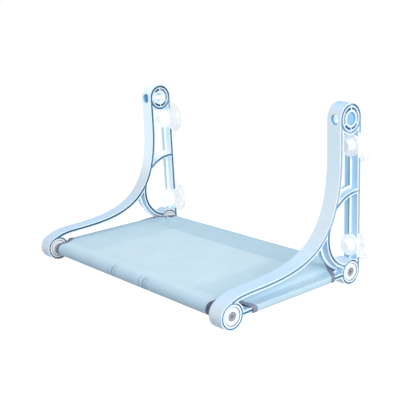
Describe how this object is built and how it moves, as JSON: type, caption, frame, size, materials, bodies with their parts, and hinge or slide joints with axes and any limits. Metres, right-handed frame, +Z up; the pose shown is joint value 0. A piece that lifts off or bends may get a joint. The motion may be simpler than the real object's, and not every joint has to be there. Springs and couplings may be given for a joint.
{
  "type": "window mounted cat perch",
  "caption": "Cloth deck stretched over tubes between moulded brackets that hang on suction cups, which knob nuts draw up, on the inside of a window.",
  "frame": {"origin": "on the window pane, midway between the brackets, at the height of the cross tubes' axes", "axes": "+X along the window to the right-hand bracket of the picture, +Y out of the room through the pane, +Z up"},
  "size_m": [0.549, 0.316, 0.297],
  "materials": {
    "bracket": "satin, pale blue, injection moulded",
    "nylon": "white nylon, smooth",
    "tube": "drawn steel tube, dull",
    "screw": "zinc plated",
    "cloth": "close plain weave, doubled, pale blue",
    "tape": "woven binding tape, grey",
    "cup": "clear soft vinyl, glossy",
    "stud": "zinc plated thread",
    "washer": "white, translucent",
    "knob": "white, smooth"
  },
  "bodies": {
    "perch": {"bracket_left": "bracket", "bracket_right": "bracket", "front_tube": "tube", "rear_tube": "tube", "tube_bush_front_left": "nylon", "tube_bush_front_right": "nylon", "tube_bush_rear_left": "nylon", "tube_bush_rear_right": "nylon", "tube_screw_front_left": "screw", "tube_screw_front_right": "screw", "tube_screw_rear_left": "screw", "tube_screw_rear_right": "screw", "deck_cloth": "cloth", "corner_tape_front_left": "tape", "corner_tape_front_right": "tape", "corner_tape_rear_left": "tape", "corner_tape_rear_right": "tape"},
    "cup_left_upper": {"suction_cup_left_upper": "cup", "cup_stud_left_upper": "stud"},
    "washer_left_upper": {"cup_washer_left_upper": "washer"},
    "knob_left_upper": {"knob_nut_left_upper": "knob"},
    "cup_left_lower": {"suction_cup_left_lower": "cup", "cup_stud_left_lower": "stud"},
    "washer_left_lower": {"cup_washer_left_lower": "washer"},
    "knob_left_lower": {"knob_nut_left_lower": "knob"},
    "cup_right_upper": {"suction_cup_right_upper": "cup", "cup_stud_right_upper": "stud"},
    "washer_right_upper": {"cup_washer_right_upper": "washer"},
    "knob_right_upper": {"knob_nut_right_upper": "knob"},
    "cup_right_lower": {"suction_cup_right_lower": "cup", "cup_stud_right_lower": "stud"},
    "washer_right_lower": {"cup_washer_right_lower": "washer"},
    "knob_right_lower": {"knob_nut_right_lower": "knob"}
  },
  "joints": [
    {"name": "cup_turn_left_upper", "type": "hinge", "parent": "perch", "child": "cup_left_upper", "pos_m": [-0.2435, 0, 0.2055], "axis": [0, -1, 0], "continuous": true},
    {"name": "washer_slide_left_upper", "type": "slide", "parent": "perch", "child": "washer_left_upper", "axis": [0, -1, 0], "range_m": [0, 0.008]},
    {"name": "knob_turn_left_upper", "type": "hinge", "parent": "washer_left_upper", "child": "knob_left_upper", "pos_m": [-0.2435, -0.024, 0.2055], "axis": [0, -1, 0], "range_deg": [0, 2880]},
    {"name": "cup_turn_left_lower", "type": "hinge", "parent": "perch", "child": "cup_left_lower", "pos_m": [-0.2435, 0, 0.041], "axis": [0, -1, 0], "continuous": true},
    {"name": "washer_slide_left_lower", "type": "slide", "parent": "perch", "child": "washer_left_lower", "axis": [0, -1, 0], "range_m": [0, 0.008]},
    {"name": "knob_turn_left_lower", "type": "hinge", "parent": "washer_left_lower", "child": "knob_left_lower", "pos_m": [-0.2435, -0.024, 0.041], "axis": [0, -1, 0], "range_deg": [0, 2880]},
    {"name": "cup_turn_right_upper", "type": "hinge", "parent": "perch", "child": "cup_right_upper", "pos_m": [0.2435, 0, 0.2055], "axis": [0, -1, 0], "continuous": true},
    {"name": "washer_slide_right_upper", "type": "slide", "parent": "perch", "child": "washer_right_upper", "axis": [0, -1, 0], "range_m": [0, 0.008]},
    {"name": "knob_turn_right_upper", "type": "hinge", "parent": "washer_right_upper", "child": "knob_right_upper", "pos_m": [0.2435, -0.024, 0.2055], "axis": [0, -1, 0], "range_deg": [0, 2880]},
    {"name": "cup_turn_right_lower", "type": "hinge", "parent": "perch", "child": "cup_right_lower", "pos_m": [0.2435, 0, 0.041], "axis": [0, -1, 0], "continuous": true},
    {"name": "washer_slide_right_lower", "type": "slide", "parent": "perch", "child": "washer_right_lower", "axis": [0, -1, 0], "range_m": [0, 0.008]},
    {"name": "knob_turn_right_lower", "type": "hinge", "parent": "washer_right_lower", "child": "knob_right_lower", "pos_m": [0.2435, -0.024, 0.041], "axis": [0, -1, 0], "range_deg": [0, 2880]}
  ],
  "couplings": [
    {"joint": "knob_turn_left_upper", "follows": "washer_slide_left_upper", "rad_per_m": 6283.2},
    {"joint": "knob_turn_left_lower", "follows": "washer_slide_left_lower", "rad_per_m": 6283.2},
    {"joint": "knob_turn_right_upper", "follows": "washer_slide_right_upper", "rad_per_m": 6283.2},
    {"joint": "knob_turn_right_lower", "follows": "washer_slide_right_lower", "rad_per_m": 6283.2}
  ]
}
